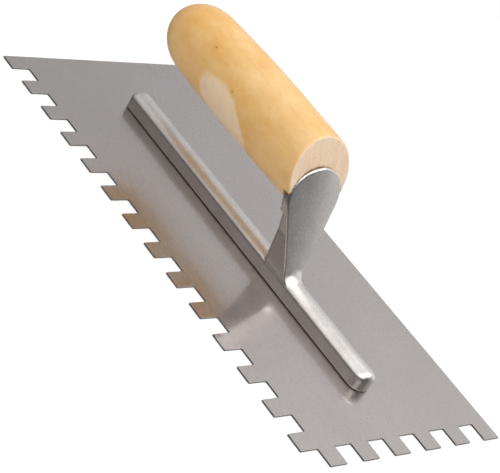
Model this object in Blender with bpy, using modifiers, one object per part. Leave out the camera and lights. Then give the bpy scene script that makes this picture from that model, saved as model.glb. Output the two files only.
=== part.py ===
"""Notched trowel: a thin toothed steel blade, a cast aluminium mounting riveted along it, and a
turned wooden handle drawn onto the mounting's tang by a screw from behind.

The origin is the centre of the blade's underside. +X points at the toothed short end, +Y at the
plain long edge, and +Z up, away from the surface that the blade lies on. Units are metres.
"""
import math

import bmesh
import bpy
from mathutils import Vector

MM = 0.001
GAP = 0.3 * MM                      # clearance between neighbouring pieces

# Blade: one long edge and one short end are cut into square teeth
BLADE_LENGTH = 280 * MM
BLADE_WIDTH = 120 * MM
BLADE_THICKNESS = 0.7 * MM
NOTCH = 10 * MM                     # notch width, notch depth and tooth width

# Rivets: one row along the blade's centre line, flush underneath
RIVET_COUNT = 7
RIVET_PITCH = 30 * MM
RIVET_RADIUS = 2.0 * MM
RIVET_HEAD_RADIUS = 2.8 * MM
RIVET_LENGTH = 5.2 * MM

# Mounting, bar: the long foot that lies on the blade
BAR_LENGTH = 206.6 * MM
BAR_CENTRE_X = 0.1 * MM
BAR_WIDTH = 12.6 * MM
BAR_BOTTOM = BLADE_THICKNESS + GAP
BAR_TOP = 9.8 * MM
BAR_DRAFT = 0.4 * MM                # how far each flank leans in on its way to the top's height
BAR_CROWN_RADIUS = 8.5 * MM         # of the domed top, across the bar
BAR_CROWN_DEPTH = 3.8 * MM          # from the top down to where the flanks are plain
BAR_EDGE_BLEND = 0.6 * MM           # how softly a flank turns into the crown
BAR_END_SHOULDER = 3.0 * MM         # radius of the top edge at the bar's two ends
BAR_NEAR_CORNER = 6.0 * MM          # radius in plan of the corners at the bar's +X end
BAR_FAR_CORNER = 3.6 * MM           # and at its -X end
BAR_LEAST_CORNER = 1.8 * MM         # of either, near the top

# Mounting, post: a leaf-shaped face that leans back and widens into a round head, with a web
# behind it. The head is a short boss along X, and the handle sits against the boss's back.
POST_FOOT = 4.5 * MM                # where the post starts, inside the bar
LEAF_FOOT_X = 37.6 * MM             # front face at LEAF_FOOT_Z, on the centre line
LEAF_FOOT_Z = 10.0 * MM
LEAF_LEAN = 0.288                   # how far the face goes back for each unit up
LEAF_CROWN_RADIUS = 70 * MM         # of the face's slight sideways curve
LEAF_EDGE_RADIUS = 0.7 * MM
LEAF_THICKNESS = 1.3 * MM           # of the leaf where it stands out from the web
LEAF_FOOT_HALF_WIDTH = 5.5 * MM
LEAF_FOOT_FILLET = 4.5 * MM         # radius of the hollow between the leaf and the bar's top
LEAF_FLARE_START = 7.0 * MM         # height where the straight foot starts to flare
LEAF_FLARE_END = 15.0 * MM          # height where the flare has become a straight taper
HEAD_TANGENT = math.atan(0.29)      # slope of the leaf's edge where it meets the round head
HEAD_RADIUS = 16.1 * MM
HEAD_FLATTENING = 0.93              # height of the head's upper half, as a share of its radius
HEAD_Z = 47.1 * MM
BOSS_RADIUS = 15.2 * MM
BOSS_FLATTENING = 0.89              # the same share for the boss behind the head
BOSS_TOP = HEAD_Z + BOSS_FLATTENING * BOSS_RADIUS
BOSS_TOP_EASE = 1.0 * MM            # height over which the boss's back gives way to the leaf's
BOSS_BACK_X = 19.6 * MM
WEB_FOOT_X = 21.2 * MM              # the web's back edge at LEAF_FOOT_Z
WEB_LEAN = 0.18
WEB_TOP = 34.5 * MM                 # the web's back edge turns towards the boss here
WEB_SHOULDER_TOP = 37.5 * MM        # and meets the boss's back here
WEB_FOOT_HALF_THICKNESS = 5.5 * MM
WEB_DRAFT = 0.035                   # thinning on each side for each unit up
WEB_BACK_RADIUS = 2.0 * MM
BACK_CORNER_SHARE = 0.4             # largest radius of the back's corners, of its half width
BACK_CORNER_DEPTH_SHARE = 0.35      # and of the depth from there to the leaf
SWEEP_SLOPE = 1.2                   # of the hollow from the leaf's edge to the web: depth / width
LEAST_BACK_SHARE = 0.5              # least width behind the leaf, of the leaf's own
BAR_CORNER_SHARE = 0.98             # largest corner of the bar in plan, of its half width
LEAST_STEP = 0.1 * MM               # keeps neighbouring points of a section apart

# Mounting, tang: a tapered round peg inside the handle
TANG_BASE_RADIUS = 3.9 * MM
TANG_TIP_RADIUS = 3.5 * MM
TANG_LENGTH = 55 * MM
TANG_ROOT = 2.0 * MM                # length of the peg buried in the boss
TANG_CHAMFER = 1.0 * MM

# Handle: turned about an axis parallel to X, its front sawn off parallel to the leaf
HANDLE_AXIS_Z = 57 * MM
HANDLE_FRONT_X = 30 * MM            # of the turned blank, before its front is sawn off
HANDLE_BACK_X = -102.8 * MM
HANDLE_DOME_START = -78 * MM
HANDLE_DOME_RADIUS = 17.95 * MM
HANDLE_BARREL = (                   # (x, radius) along the barrel, joined by a smooth curve
    (30 * MM, 18.3 * MM),
    (16 * MM, 18.45 * MM),
    (0 * MM, 18.7 * MM),
    (-16 * MM, 18.95 * MM),
    (-32 * MM, 19.1 * MM),
    (-48 * MM, 18.9 * MM),
    (-64 * MM, 18.5 * MM),
    (-78 * MM, 17.95 * MM),
)
SAW_CUT_X = 21.6 * MM               # the sawn face crosses the handle's axis here
SAW_CUT_LEAN = 0.34
SAW_FACE_RADIUS = 17.2 * MM         # of the flat face inside its rounded edge
SAW_EDGE_RADIUS = 1.2 * MM

# Handle screw and washer, in a counterbore at the handle's back end
SCREW_RADIUS = 2.0 * MM
SCREW_GRIP = 14 * MM                # length of the screw inside the tang
SCREW_HEAD_RADIUS = 4.6 * MM
SCREW_HEAD_HEIGHT = 3.6 * MM
SCREW_SLOT_WIDTH = 1.2 * MM
SCREW_SLOT_DEPTH = 1.6 * MM
SCREW_DOME = 1.2 * MM               # radius of the head's rim
SCREW_POINT = 0.6 * MM              # chamfer at the screw's end
WASHER_RADIUS = 6.2 * MM
WASHER_HOLE_RADIUS = 2.4 * MM
WASHER_THICKNESS = 1.2 * MM
COUNTERBORE_RADIUS = 6.8 * MM
COUNTERBORE_FLOOR_X = -88 * MM

ROUND_STEPS = 40                    # facets round a large turned piece
SMALL_STEPS = 24                    # facets round a small one
MERGE = 0.01 * MM
OVERSHOOT = 2 * MM                  # how far a cutter runs past the surface it opens


def clear_scene():
    for obj in list(bpy.data.objects):
        bpy.data.objects.remove(obj, do_unlink=True)


def new_collection(name):
    collection = bpy.data.collections.new(name)
    bpy.context.scene.collection.children.link(collection)
    return collection


def finish_material(name, colour, roughness, metallic):
    material = bpy.data.materials.new(name)
    material.use_nodes = True
    shader = material.node_tree.nodes["Principled BSDF"]
    shader.inputs["Base Color"].default_value = (*colour, 1.0)
    shader.inputs["Roughness"].default_value = roughness
    shader.inputs["Metallic"].default_value = metallic
    material.diffuse_color = (*colour, 1.0)
    return material


def place(mesh, name, collection, material=None):
    obj = bpy.data.objects.new(name, mesh)
    collection.objects.link(obj)
    if material:
        mesh.materials.append(material)
    return obj


def as_cutter(obj):
    obj.hide_render = True
    obj.display_type = "WIRE"
    return obj


def boolean(target, operand, operation):
    step = target.modifiers.new(f"{operation.lower()}_{operand.name}", "BOOLEAN")
    step.operation = operation
    step.object = operand
    step.solver = "EXACT"


def arc(centre, radius, start, end, steps):
    """Points along an arc, from the angle start to the angle end in radians, both ends included."""
    angles = [start + (end - start) * i / steps for i in range(steps + 1)]
    return [(centre[0] + radius * math.cos(a), centre[1] + radius * math.sin(a)) for a in angles]


def turned(name, profile, steps, collection, material=None):
    """A solid of revolution about its own Z axis. The profile is (radius, height), top to bottom.

    A profile that doesn't start on the axis is a ring's section, and is closed on itself.
    """
    mesh = bpy.data.meshes.new(name)
    points = [(radius, 0.0, height) for radius, height in profile]
    edges = [(i, i + 1) for i in range(len(points) - 1)]
    if profile[0][0] > 0.0:
        edges.append((len(points) - 1, 0))
    mesh.from_pydata(points, edges, [])
    obj = place(mesh, name, collection, material)
    turn = obj.modifiers.new("turn", "SCREW")
    turn.axis = "Z"
    turn.steps = steps
    turn.render_steps = steps
    turn.use_smooth_shade = True
    turn.use_merge_vertices = True
    turn.merge_threshold = MERGE
    return obj


def along_x(obj, x, z):
    """Lays a turned piece down, so that its own Z axis points along +X at the height z."""
    obj.rotation_euler = (0.0, math.pi / 2, 0.0)
    obj.location = (x, 0.0, z)
    return obj


def bar_outline(length, width, near_corner, far_corner, steps):
    """The bar in plan: a rectangle whose corners may be rounder at one end than at the other."""
    corners = ((1, 1, near_corner, 0.0), (-1, 1, far_corner, 0.5),
               (-1, -1, far_corner, 1.0), (1, -1, near_corner, 1.5))
    points = []
    for end, side, radius, turn in corners:
        centre = (end * (length / 2 - radius), side * (width / 2 - radius))
        points += arc(centre, radius, turn * math.pi, (turn + 0.5) * math.pi, steps)
    return points


def soft_least(first, second, blend):
    """The lesser of two lengths, eased by up to a quarter of blend where they are alike."""
    nearness = max(blend - abs(first - second), 0.0) / blend
    return min(first, second) - nearness ** 2 * blend / 4


def crown_height(y):
    """Height of the bar's domed top, across the bar."""
    return BAR_TOP - BAR_CROWN_RADIUS + math.sqrt(max(BAR_CROWN_RADIUS ** 2 - y ** 2, 0.0))


def bar_half_width(z):
    """Half the bar's width: a drafted flank that turns softly into the crown."""
    flank = BAR_WIDTH / 2 - BAR_DRAFT * (z - BAR_BOTTOM) / (BAR_TOP - BAR_BOTTOM)
    crown = math.sqrt(max(BAR_CROWN_RADIUS ** 2 - (z - BAR_TOP + BAR_CROWN_RADIUS) ** 2, 0.0))
    return max(soft_least(flank, crown, BAR_EDGE_BLEND), 2 * LEAST_STEP)


def bar_rows(crown_steps, corner_steps):
    """The bar cut level by level: drafted flanks, a domed top and upright, rounded ends."""
    heights = [BAR_BOTTOM]
    for i in range(crown_steps + 1):
        turn = math.pi / 2 * i / crown_steps
        heights.append(BAR_TOP - BAR_CROWN_DEPTH * (1 - math.sin(turn)))
    rows = []
    for z in heights:
        rise = max(z - BAR_TOP + BAR_END_SHOULDER, 0.0)
        end = BAR_END_SHOULDER - math.sqrt(BAR_END_SHOULDER ** 2 - rise ** 2)
        half_width = bar_half_width(z)
        inset = BAR_WIDTH / 2 - half_width
        near, far = (min(max(corner - inset, BAR_LEAST_CORNER), BAR_CORNER_SHARE * half_width)
                     for corner in (BAR_NEAR_CORNER, BAR_FAR_CORNER))
        outline = bar_outline(BAR_LENGTH - 2 * end, 2 * half_width, near, far, corner_steps)
        rows.append([Vector((BAR_CENTRE_X + x, y, z)) for x, y in outline])
    return rows


def leaf_front(z):
    return LEAF_FOOT_X - LEAF_LEAN * (z - LEAF_FOOT_Z)


def half_width_of_head(z, radius, flattening):
    """Half the width of a round whose upper half is flattened, at the height z."""
    rise = z - HEAD_Z
    if rise > 0.0:
        rise /= flattening
    return math.sqrt(max(radius ** 2 - rise ** 2, 0.0))


def leaf_half_width(z):
    """Half the leaf's width: a straight foot, a flare, a straight taper and the round head."""
    meet_z = HEAD_Z - HEAD_RADIUS * math.sin(HEAD_TANGENT)
    if z > meet_z:
        return half_width_of_head(z, HEAD_RADIUS, HEAD_FLATTENING)
    if z < LEAF_FLARE_START:
        return LEAF_FOOT_HALF_WIDTH
    flare = LEAF_FLARE_END - LEAF_FLARE_START
    run = flare / 2 + meet_z - LEAF_FLARE_END
    taper = (HEAD_RADIUS * math.cos(HEAD_TANGENT) - LEAF_FOOT_HALF_WIDTH) / run
    flared = min(z, LEAF_FLARE_END) - LEAF_FLARE_START
    return LEAF_FOOT_HALF_WIDTH + taper * (flared ** 2 / (2 * flare) + max(z - LEAF_FLARE_END, 0.0))


def leaf_face_x(y, z):
    """The face's x: it leans back, is crowned sideways, rolls over at its rim, and runs out
    into the bar's top in a hollow."""
    if z > HEAD_Z:
        inside = HEAD_RADIUS - math.hypot(y, (z - HEAD_Z) / HEAD_FLATTENING)
    elif z > HEAD_Z - HEAD_RADIUS * math.sin(HEAD_TANGENT):
        inside = HEAD_RADIUS - math.hypot(y, z - HEAD_Z)
    else:
        inside = (leaf_half_width(z) - y) * math.cos(HEAD_TANGENT)
    inside = min(max(inside, 0.0), LEAF_EDGE_RADIUS)
    roll = LEAF_EDGE_RADIUS - math.sqrt(LEAF_EDGE_RADIUS ** 2 - (LEAF_EDGE_RADIUS - inside) ** 2)
    hollow = LEAF_FOOT_FILLET - min(max(z - crown_height(y), 0.0), LEAF_FOOT_FILLET)
    run_out = LEAF_FOOT_FILLET - math.sqrt(LEAF_FOOT_FILLET ** 2 - hollow ** 2)
    return leaf_front(z) - y ** 2 / (2 * LEAF_CROWN_RADIUS) - roll + run_out


def post_back(z):
    """The post's back edge: the web's straight slope, then a soft shoulder up to the boss."""
    slope = WEB_FOOT_X - WEB_LEAN * (z - LEAF_FOOT_Z)
    rise = min(max((z - WEB_TOP) / (WEB_SHOULDER_TOP - WEB_TOP), 0.0), 1.0)
    ease = rise * rise * (3 - 2 * rise)
    return slope + (BOSS_BACK_X - slope) * ease


def post_back_half_width(z):
    """Half the post's thickness behind the leaf: the web, then the round boss."""
    web = WEB_FOOT_HALF_THICKNESS - WEB_DRAFT * max(z - LEAF_FOOT_Z, 0.0)
    boss = half_width_of_head(z, BOSS_RADIUS, BOSS_FLATTENING)
    width = max(web, boss) if z < HEAD_Z else boss
    return max(min(width, leaf_half_width(z) - LEAST_STEP), LEAST_BACK_SHARE * leaf_half_width(z))


def post_section(z, face_steps, roll_steps):
    """The post cut at one height: half of it from the face's middle to the back's, then its mirror."""
    width = leaf_half_width(z)
    back_width = post_back_half_width(z)
    back = post_back(z)
    half = []
    for i in range(face_steps + 1):
        y = width * math.sin(math.pi / 2 * i / face_steps)
        half.append((leaf_face_x(y, z), y))
    edge_x = leaf_front(z) - width ** 2 / (2 * LEAF_CROWN_RADIUS) - LEAF_THICKNESS
    edge_x = min(edge_x, half[-1][0] - LEAST_STEP)
    above_boss = min(max((z - BOSS_TOP) / BOSS_TOP_EASE + 1.0, 0.0), 1.0)
    back += (edge_x - 4 * LEAST_STEP - back) * above_boss
    corner = min(WEB_BACK_RADIUS, BACK_CORNER_SHARE * back_width,
                 BACK_CORNER_DEPTH_SHARE * (edge_x - back))
    sweep = min(SWEEP_SLOPE * (width - back_width) + LEAST_STEP,
                edge_x - back - corner - LEAST_STEP)
    for i in range(roll_steps + 1):
        turn = math.pi / 2 * i / roll_steps
        half.append((edge_x - sweep + sweep * math.cos(turn),
                     width - (width - back_width) * math.sin(turn)))
    half += arc((back + corner, back_width - corner), corner, math.pi / 2, math.pi, roll_steps)
    half.append((back, 0.0))
    mirrored = [(x, -y) for x, y in reversed(half[1:-1])]
    return [Vector((x, y, z)) for x, y in half + mirrored]


def post_heights(step):
    """Heights of the post's sections, closer together towards the top of the round head."""
    straight = HEAD_Z - POST_FOOT
    count = round(straight / step)
    heights = [POST_FOOT + straight * i / count for i in range(count)]
    turns = round(HEAD_RADIUS * math.pi / 2 / step)
    last = 0.985                    # the last section is this far round the head's quarter turn
    heights += [HEAD_Z + HEAD_FLATTENING * HEAD_RADIUS * math.sin(last * math.pi / 2 * i / turns)
                for i in range(turns + 1)]
    return heights


def loft(name, rings, collection, material=None):
    """A closed skin over rings of equal point counts, each anticlockwise from above, low to high."""
    shape = bmesh.new()
    rows = [[shape.verts.new(point) for point in ring] for ring in rings]
    for lower, upper in zip(rows, rows[1:]):
        for i in range(len(lower)):
            j = (i + 1) % len(lower)
            shape.faces.new((lower[i], lower[j], upper[j], upper[i]))
    shape.faces.new(list(reversed(rows[0])))
    shape.faces.new(rows[-1])
    bmesh.ops.triangulate(shape, faces=shape.faces)
    mesh = bpy.data.meshes.new(name)
    shape.to_mesh(mesh)
    shape.free()
    return place(mesh, name, collection, material)


def rivet_profile():
    """(radius, height) of a rivet: a shank in the bar and a countersunk head flush with the blade."""
    return [(0.0, RIVET_LENGTH),
            (RIVET_RADIUS, RIVET_LENGTH),
            (RIVET_RADIUS, BLADE_THICKNESS),
            (RIVET_HEAD_RADIUS, 0.0),
            (0.0, 0.0)]


def rivet_hole_profile():
    """(radius, height) of a rivet's clearance hole, whose cone runs on below the blade."""
    slope = (RIVET_HEAD_RADIUS - RIVET_RADIUS) / BLADE_THICKNESS
    shank = RIVET_RADIUS + GAP
    cone_top = BLADE_THICKNESS + GAP / 2
    return [(0.0, RIVET_LENGTH + GAP),
            (shank, RIVET_LENGTH + GAP),
            (shank, cone_top),
            (shank + slope * (cone_top + OVERSHOOT), -OVERSHOOT),
            (0.0, -OVERSHOOT)]


def rivet_positions():
    middle = (RIVET_COUNT - 1) / 2
    return [(i - middle) * RIVET_PITCH for i in range(RIVET_COUNT)]


def make_rivet_holes(cutters):
    """One cutter with the clearance hole of every rivet."""
    holes = turned("rivet_holes", rivet_hole_profile(), SMALL_STEPS, cutters)
    holes.location = (rivet_positions()[0], 0.0, 0.0)
    repeat = holes.modifiers.new("row", "ARRAY")
    repeat.count = RIVET_COUNT
    repeat.use_relative_offset = False
    repeat.use_constant_offset = True
    repeat.constant_offset_displace = (RIVET_PITCH, 0.0, 0.0)
    return as_cutter(holes)


def in_notch(centre):
    """Whether a blade cell lies in a notch, or in the corner where the two toothed edges meet."""
    from_left = round((centre.x + BLADE_LENGTH / 2) / NOTCH - 0.5)
    from_bottom = round((centre.y + BLADE_WIDTH / 2) / NOTCH - 0.5)
    last = round(BLADE_LENGTH / NOTCH) - 1
    in_long_edge = from_bottom == 0 and from_left % 2 == 1
    in_short_end = from_left == last and from_bottom % 2 == 0
    return in_long_edge or in_short_end


def make_blade(parts, rivet_holes, material):
    """A sheet of square cells, each as wide as a tooth, with the notches' cells left out."""
    shape = bmesh.new()
    bmesh.ops.create_grid(shape, x_segments=round(BLADE_LENGTH / NOTCH),
                          y_segments=round(BLADE_WIDTH / NOTCH), size=0.5)
    bmesh.ops.scale(shape, verts=shape.verts, vec=(BLADE_LENGTH, BLADE_WIDTH, 1.0))
    notches = [face for face in shape.faces if in_notch(face.calc_center_median())]
    bmesh.ops.delete(shape, geom=notches, context="FACES")
    mesh = bpy.data.meshes.new("blade")
    shape.to_mesh(mesh)
    shape.free()
    blade = place(mesh, "blade", parts, material)
    sheet = blade.modifiers.new("sheet", "SOLIDIFY")
    sheet.thickness = BLADE_THICKNESS
    sheet.offset = 1.0
    boolean(blade, rivet_holes, "DIFFERENCE")
    return blade


def make_rivets(parts, material):
    profile = rivet_profile()
    first = None
    for number, x in enumerate(rivet_positions(), start=1):
        rivet = turned(f"rivet_{number}", profile, SMALL_STEPS, parts, None if first else material)
        if first:
            rivet.data = first.data
        first = first or rivet
        rivet.location = (x, 0.0, 0.0)


def tang_profile(clearance):
    """(radius, height) along the peg, with its tip down at -TANG_LENGTH and its root at the top."""
    tip = TANG_TIP_RADIUS + clearance
    return [(0.0, TANG_ROOT),
            (TANG_BASE_RADIUS + clearance, TANG_ROOT),
            (TANG_BASE_RADIUS + clearance, 0.0),
            (tip, TANG_CHAMFER - TANG_LENGTH - clearance),
            (tip - TANG_CHAMFER, -TANG_LENGTH - clearance),
            (0.0, -TANG_LENGTH - clearance)]


def make_mounting(parts, cutters, rivet_holes, material):
    """Bar, post and tang, cast in one piece, then bored for the rivets and the handle screw."""
    mounting = loft("mounting", bar_rows(8, 4), parts, material)
    sections = [post_section(z, 6, 3) for z in post_heights(2.4 * MM)]
    post = as_cutter(loft("post", sections, cutters))
    tang = as_cutter(turned("tang", tang_profile(0.0), SMALL_STEPS, cutters))
    along_x(tang, BOSS_BACK_X, HANDLE_AXIS_Z)
    hole = make_rod("tang_hole", SCREW_RADIUS + GAP, SCREW_GRIP + GAP + OVERSHOOT, cutters)
    along_x(hole, BOSS_BACK_X - TANG_LENGTH - OVERSHOOT, HANDLE_AXIS_Z)
    boolean(mounting, post, "UNION")
    boolean(mounting, tang, "UNION")
    boolean(mounting, rivet_holes, "DIFFERENCE")
    boolean(mounting, hole, "DIFFERENCE")
    return mounting


def make_rod(name, radius, length, collection):
    """A plain round cutter standing on its own origin."""
    profile = [(0.0, length), (radius, length), (radius, 0.0), (0.0, 0.0)]
    return as_cutter(turned(name, profile, SMALL_STEPS, collection))


def smooth_through(points, steps):
    """A Catmull-Rom curve through the points, with that many steps between each pair."""
    curve = []
    for i in range(len(points) - 1):
        before = Vector(points[max(i - 1, 0)])
        start = Vector(points[i])
        end = Vector(points[i + 1])
        after = Vector(points[min(i + 2, len(points) - 1)])
        for k in range(steps):
            t = k / steps
            curve.append(0.5 * (2 * start + (end - before) * t
                                + (2 * before - 5 * start + 4 * end - after) * t ** 2
                                + (3 * start - before - 3 * end + after) * t ** 3))
    return curve


def handle_profile():
    """(radius, x) of the turned handle, from its front end to the tip of its domed back."""
    profile = [(0.0, HANDLE_FRONT_X)]
    profile += [(radius, x) for x, radius in smooth_through(HANDLE_BARREL, 2)]
    dome_length = HANDLE_DOME_START - HANDLE_BACK_X
    dome_steps = 9
    for i in range(dome_steps + 1):
        turn = math.pi / 2 * i / dome_steps
        profile.append((HANDLE_DOME_RADIUS * math.cos(turn),
                        HANDLE_DOME_START - dome_length * math.sin(turn)))
    profile[-1] = (0.0, HANDLE_BACK_X)
    return profile


def make_saw_cut(cutters):
    """What is sawn off the blank's front: a round block whose face leans, with a rounded edge."""
    reach = 2 * HANDLE_DOME_RADIUS
    edge_steps = 3
    profile = [(0.0, reach), (reach, reach), (reach, -SAW_EDGE_RADIUS)]
    for i in range(edge_steps, -1, -1):
        turn = math.pi / 2 * i / edge_steps
        profile.append((SAW_FACE_RADIUS + SAW_EDGE_RADIUS * math.sin(turn),
                        SAW_EDGE_RADIUS * (math.cos(turn) - 1)))
    profile.append((0.0, 0.0))
    block = turned("saw_cut", profile, ROUND_STEPS, cutters)
    lean = math.atan(SAW_CUT_LEAN)
    block.rotation_euler = (0.0, math.pi / 2 - lean, 0.0)
    block.location = (SAW_CUT_X, 0.0, HANDLE_AXIS_Z)
    block.scale.x = 1 / math.cos(lean)
    return as_cutter(block)


def make_handle(parts, cutters, material):
    """The turned handle: sawn front, pocket for the head, bore for the tang, counterbore behind."""
    handle = turned("handle", handle_profile(), ROUND_STEPS, parts, material)
    along_x(handle, 0.0, HANDLE_AXIS_Z)
    pocket_length = HANDLE_FRONT_X - BOSS_BACK_X + GAP + OVERSHOOT
    pocket_radius = HEAD_RADIUS + GAP
    pocket_profile = [(0.0, pocket_length), (pocket_radius, pocket_length),
                      (pocket_radius, 0.0), (0.0, 0.0)]
    pocket = as_cutter(turned("head_pocket", pocket_profile, 2 * ROUND_STEPS, cutters))
    along_x(pocket, BOSS_BACK_X - GAP, HEAD_Z)
    pocket.scale.x = BOSS_FLATTENING
    tang_bore = as_cutter(turned("tang_bore", tang_profile(GAP), SMALL_STEPS, cutters))
    along_x(tang_bore, BOSS_BACK_X, HANDLE_AXIS_Z)
    tang_end = BOSS_BACK_X - TANG_LENGTH
    screw_bore = make_rod("screw_bore", SCREW_RADIUS + 2 * GAP,
                          tang_end - COUNTERBORE_FLOOR_X + 2 * OVERSHOOT, cutters)
    along_x(screw_bore, COUNTERBORE_FLOOR_X - OVERSHOOT, HANDLE_AXIS_Z)
    counterbore = make_rod("counterbore", COUNTERBORE_RADIUS,
                           COUNTERBORE_FLOOR_X - HANDLE_BACK_X + OVERSHOOT, cutters)
    along_x(counterbore, HANDLE_BACK_X - OVERSHOOT, HANDLE_AXIS_Z)
    for cutter in (make_saw_cut(cutters), pocket, tang_bore, screw_bore, counterbore):
        boolean(handle, cutter, "DIFFERENCE")
    return handle


def make_washer(parts, material):
    """A flat washer on the floor of the counterbore."""
    profile = [(WASHER_HOLE_RADIUS, WASHER_THICKNESS),
               (WASHER_RADIUS, WASHER_THICKNESS),
               (WASHER_RADIUS, 0.0),
               (WASHER_HOLE_RADIUS, 0.0)]
    washer = turned("handle_washer", profile, SMALL_STEPS, parts, material)
    return along_x(washer, COUNTERBORE_FLOOR_X - GAP - WASHER_THICKNESS, HANDLE_AXIS_Z)


def make_screw(parts, cutters, material):
    """A slotted pan-head screw from the counterbore into the tang."""
    head_front = COUNTERBORE_FLOOR_X - 2 * GAP - WASHER_THICKNESS
    tip = BOSS_BACK_X - TANG_LENGTH + SCREW_GRIP
    length = tip - head_front
    profile = [(0.0, length), (SCREW_RADIUS - SCREW_POINT, length),
               (SCREW_RADIUS, length - SCREW_POINT), (SCREW_RADIUS, 0.0), (SCREW_HEAD_RADIUS, 0.0)]
    profile += [(SCREW_HEAD_RADIUS - SCREW_DOME * (1 - math.cos(turn)),
                 SCREW_DOME * (1 - math.sin(turn)) - SCREW_HEAD_HEIGHT)
                for turn in (0.0, math.pi / 6, math.pi / 3, math.pi / 2)]
    profile.append((0.0, -SCREW_HEAD_HEIGHT))
    screw = turned("handle_screw", profile, SMALL_STEPS, parts, material)
    along_x(screw, head_front, HANDLE_AXIS_Z)
    mesh = bpy.data.meshes.new("screw_slot")
    shape = bmesh.new()
    bmesh.ops.create_cube(shape, size=1.0)
    bmesh.ops.scale(shape, verts=shape.verts, vec=(
        2 * SCREW_SLOT_DEPTH, SCREW_SLOT_WIDTH, 2 * SCREW_HEAD_RADIUS + OVERSHOOT))
    shape.to_mesh(mesh)
    shape.free()
    slot = as_cutter(place(mesh, "screw_slot", cutters))
    slot.location = (head_front - SCREW_HEAD_HEIGHT, 0.0, HANDLE_AXIS_Z)
    boolean(screw, slot, "DIFFERENCE")
    return screw


def main():
    clear_scene()
    parts = new_collection("notched_trowel")
    cutters = new_collection("notched_trowel_cutters")
    steel = finish_material("blade_steel", (0.42, 0.38, 0.36), 0.32, 1.0)
    cast = finish_material("cast_aluminium", (0.60, 0.58, 0.56), 0.42, 1.0)
    rivet_metal = finish_material("rivet_aluminium", (0.66, 0.66, 0.67), 0.35, 1.0)
    wood = finish_material("handle_wood", (0.78, 0.52, 0.24), 0.38, 0.0)
    zinc = finish_material("zinc_steel", (0.62, 0.63, 0.65), 0.28, 1.0)
    rivet_holes = make_rivet_holes(cutters)
    make_blade(parts, rivet_holes, steel)
    make_rivets(parts, rivet_metal)
    make_mounting(parts, cutters, rivet_holes, cast)
    make_handle(parts, cutters, wood)
    make_washer(parts, zinc)
    make_screw(parts, cutters, zinc)


main()
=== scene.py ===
"""Looks of the notched trowel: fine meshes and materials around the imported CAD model.

The frame is the CAD model's. The origin is the centre of the blade's underside, +X points at the
toothed short end, +Y at the plain long edge and +Z up, away from the floor. Units are metres.
"""
import math

import bmesh
import bpy
from mathutils import Matrix, Vector


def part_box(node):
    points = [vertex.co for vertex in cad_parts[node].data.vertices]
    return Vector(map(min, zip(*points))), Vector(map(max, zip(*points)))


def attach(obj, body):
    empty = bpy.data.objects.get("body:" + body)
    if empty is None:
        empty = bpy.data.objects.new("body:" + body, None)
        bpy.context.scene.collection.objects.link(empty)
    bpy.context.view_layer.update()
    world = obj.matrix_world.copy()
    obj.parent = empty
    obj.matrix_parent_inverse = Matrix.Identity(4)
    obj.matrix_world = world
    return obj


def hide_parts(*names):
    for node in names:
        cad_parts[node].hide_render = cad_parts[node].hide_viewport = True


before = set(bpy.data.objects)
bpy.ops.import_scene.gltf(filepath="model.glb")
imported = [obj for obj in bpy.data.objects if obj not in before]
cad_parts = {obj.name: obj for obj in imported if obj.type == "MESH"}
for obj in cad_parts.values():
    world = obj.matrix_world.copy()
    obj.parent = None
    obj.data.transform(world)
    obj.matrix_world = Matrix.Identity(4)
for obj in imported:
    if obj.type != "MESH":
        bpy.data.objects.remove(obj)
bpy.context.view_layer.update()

MM = 0.001
GAP = 0.3 * MM                      # clearance between neighbouring pieces

# Blade, measured on its CAD node
BLADE_LOW, BLADE_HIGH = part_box("blade")
NOTCH = 10 * MM                     # notch width, notch depth and tooth width
NOTCH_CORNER = 0.4 * MM             # radius left by the punch in a notch's corners
TOOTH_CORNER = 0.25 * MM
BLADE_CHAMFER = 0.07 * MM
RIVET_CLEARANCE = 0.12 * MM         # ring seen around each rivet from below

# Mounting, bar
BAR_LENGTH = 206.6 * MM
BAR_CENTRE_X = 0.1 * MM
BAR_WIDTH = 12.6 * MM
BAR_BOTTOM = BLADE_HIGH.z + GAP
BAR_TOP = 9.8 * MM
BAR_DRAFT = 0.4 * MM                # how far each flank leans in on its way to the top's height
BAR_CROWN_RADIUS = 8.5 * MM         # of the domed top, across the bar
BAR_CROWN_DEPTH = 3.8 * MM          # from the top down to where the flanks are plain
BAR_EDGE_BLEND = 0.6 * MM           # how softly a flank turns into the crown
BAR_END_SHOULDER = 3.0 * MM         # radius of the top edge at the bar's two ends
BAR_NEAR_CORNER = 6.0 * MM          # radius in plan of the corners at the bar's +X end
BAR_FAR_CORNER = 3.6 * MM           # and at its -X end
BAR_LEAST_CORNER = 1.8 * MM         # of either, near the top

# Mounting, post: leaf-shaped face, web behind it, round head
POST_FOOT = 4.5 * MM
LEAF_FOOT_X = 37.6 * MM
LEAF_FOOT_Z = 10.0 * MM
LEAF_LEAN = 0.288
LEAF_CROWN_RADIUS = 70 * MM
LEAF_EDGE_RADIUS = 0.7 * MM
LEAF_THICKNESS = 1.3 * MM
LEAF_FOOT_HALF_WIDTH = 5.5 * MM
LEAF_FOOT_FILLET = 4.5 * MM         # radius of the hollow between the leaf and the bar's top
LEAF_FLARE_START = 7.0 * MM
LEAF_FLARE_END = 15.0 * MM
HEAD_TANGENT = math.atan(0.29)      # slope of the leaf's edge where it meets the round head
HEAD_RADIUS = 16.1 * MM
HEAD_FLATTENING = 0.93              # height of the head's upper half, as a share of its radius
HEAD_Z = 47.1 * MM
BOSS_RADIUS = 15.2 * MM
BOSS_FLATTENING = 0.89              # the same share for the boss behind the head
BOSS_TOP = HEAD_Z + BOSS_FLATTENING * BOSS_RADIUS
BOSS_TOP_EASE = 1.0 * MM            # height over which the boss's back gives way to the leaf's
BOSS_BACK_X = 19.6 * MM
WEB_FOOT_X = 21.2 * MM
WEB_LEAN = 0.18
WEB_TOP = 34.5 * MM
WEB_SHOULDER_TOP = 37.5 * MM
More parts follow.
